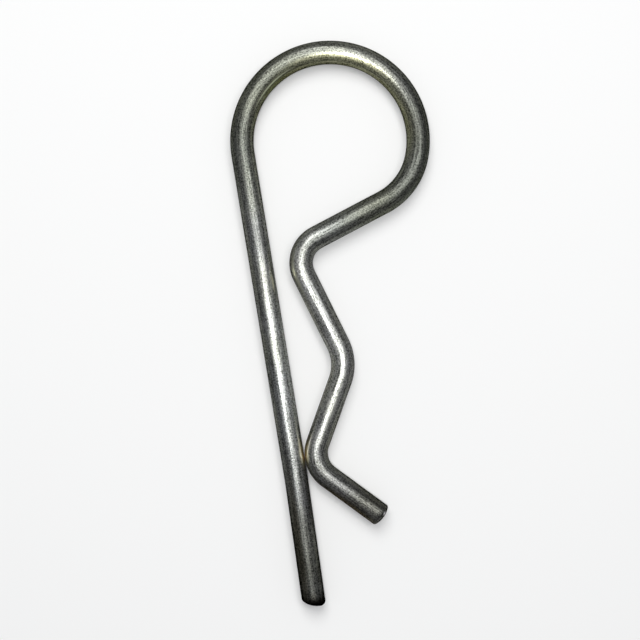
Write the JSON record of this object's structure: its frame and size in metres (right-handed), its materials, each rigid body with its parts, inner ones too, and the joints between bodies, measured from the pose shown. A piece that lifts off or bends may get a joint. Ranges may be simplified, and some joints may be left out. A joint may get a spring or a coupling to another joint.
{
  "type": "r clip",
  "caption": "R-clip of round spring wire: a straight leg goes through a cross-drilled shaft, a sprung arm wraps round the shaft, and a round eye joins them.",
  "frame": {"origin": "centre of the shaft seat: the point where the axis of a held shaft crosses the axis of the straight leg", "axes": "+Y up the leg towards the eye, +X from the leg to the sprung arm, +Z square to the plane of the clip, along the held shaft"},
  "size_m": [0.0344, 0.0948, 0.004],
  "materials": {
    "plated_wire": "spring steel wire with dull zinc plating and a faint olive yellow passivate, finely grained"
  },
  "bodies": {
    "root": {"r_clip": "plated_wire"}
  },
  "joints": []
}
